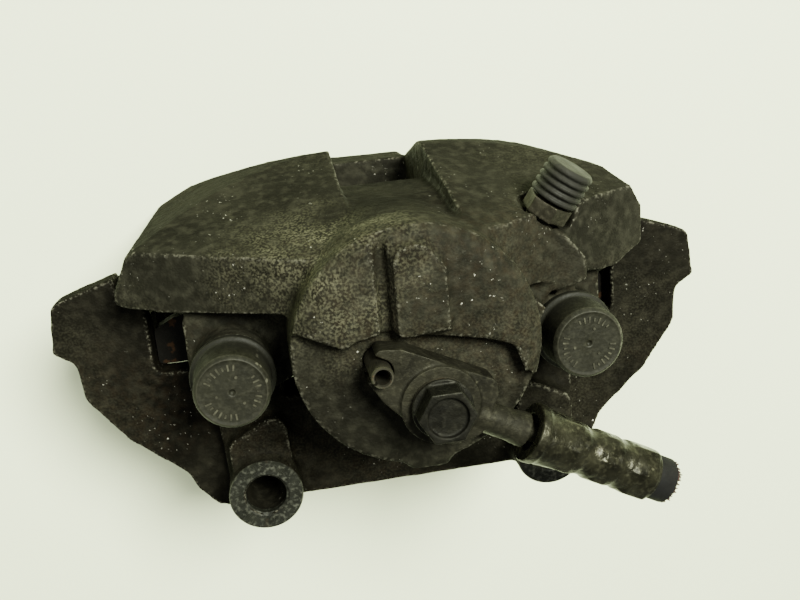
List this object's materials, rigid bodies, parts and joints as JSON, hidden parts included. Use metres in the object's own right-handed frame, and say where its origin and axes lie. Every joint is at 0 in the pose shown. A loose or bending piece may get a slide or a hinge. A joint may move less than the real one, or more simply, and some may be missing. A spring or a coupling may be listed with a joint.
{
  "type": "brake caliper",
  "caption": "Floating disc brake caliper with its carrier, guide pins, pads, piston, hydraulic hose fitting and bleed screw; it clamps a rotating disc.",
  "frame": {"origin": "midway between the two bolt holes of the carrier's ears, in the plane of the ears' machined faces", "axes": "+X across the caliper through both bolt holes, along the disc's tangent; +Y radially outward from the disc's axle; +Z inboard, along the piston and the guide pins"},
  "size_m": [0.2218, 0.1177, 0.1575],
  "materials": {
    "carrier_iron": "rough sand-cast, dusty",
    "housing_iron": "rough sand-cast, dusty, edges worn bright",
    "pin_steel": "zinc plated, dulled",
    "bush_rubber": "matte",
    "cap_plastic": "dusty",
    "piston_steel": "ground",
    "seal_rubber": "matte",
    "boot_rubber": "dusty",
    "fitting_zinc": "yellow zinc, grimy",
    "bolt_steel": "yellow zinc, grimy",
    "washer_metal": "dulled",
    "ferrule_zinc": "yellow zinc, grimy",
    "hose_rubber": "matte, cut end frayed",
    "locating_steel": "dulled",
    "bleed_steel": "zinc plated, grimy",
    "bleed_cap_rubber": "dusty",
    "plate_steel": "black, worn",
    "lining": "grainy friction material",
    "clip_steel": "spring steel"
  },
  "bodies": {
    "carrier": {"carrier_bracket": "carrier_iron", "guide_pin_left": "pin_steel", "guide_pin_right": "pin_steel"},
    "housing": {"caliper_housing": "housing_iron", "guide_bush_left": "bush_rubber", "guide_bush_right": "bush_rubber", "guide_cap_left": "cap_plastic", "guide_cap_right": "cap_plastic", "piston_seal": "seal_rubber", "dust_boot": "boot_rubber", "locating_pin": "locating_steel", "banjo_bolt": "bolt_steel", "banjo_washer_inner": "washer_metal", "banjo_washer_outer": "washer_metal", "banjo_fitting": "fitting_zinc", "hose_ferrule": "ferrule_zinc", "hose_stub": "hose_rubber"},
    "piston": {"piston": "piston_steel"},
    "inner_pad": {"pad_plate_inner": "plate_steel", "pad_lining_inner": "lining", "pad_clip": "clip_steel"},
    "outer_pad": {"pad_plate_outer": "plate_steel", "pad_lining_outer": "lining"},
    "bleed_screw": {"bleed_screw": "bleed_steel"},
    "bleed_cap": {"bleed_screw_cap": "bleed_cap_rubber"}
  },
  "joints": [
    {"name": "housing_slide", "type": "slide", "parent": "carrier", "child": "housing", "axis": [0, 0, 1], "range_m": [0, 0.01]},
    {"name": "piston_slide", "type": "slide", "parent": "housing", "child": "piston", "axis": [0, 0, -1], "range_m": [0, 0.02], "deforming": ["dust_boot"]},
    {"name": "inner_pad_slide", "type": "slide", "parent": "carrier", "child": "inner_pad", "axis": [0, 0, -1], "range_m": [0, 0.01]},
    {"name": "outer_pad_slide", "type": "slide", "parent": "carrier", "child": "outer_pad", "axis": [0, 0, 1], "range_m": [0, 0.01]},
    {"name": "bleed_screw_turn", "type": "hinge", "parent": "housing", "child": "bleed_screw", "pos_m": [0.0428, 0.0795, 0.0075], "axis": [0.4997, 0.8294, 0.2498], "range_deg": [0, 360]},
    {"name": "bleed_cap_pull", "type": "slide", "parent": "bleed_screw", "child": "bleed_cap", "axis": [0.4997, 0.8294, 0.2498], "range_m": [0, 0.02]}
  ],
  "couplings": [
    {"joint": "piston_slide", "follows": "housing_slide", "ratio": 2},
    {"joint": "inner_pad_slide", "follows": "housing_slide", "ratio": 1},
    {"joint": "outer_pad_slide", "follows": "housing_slide", "ratio": 1}
  ]
}
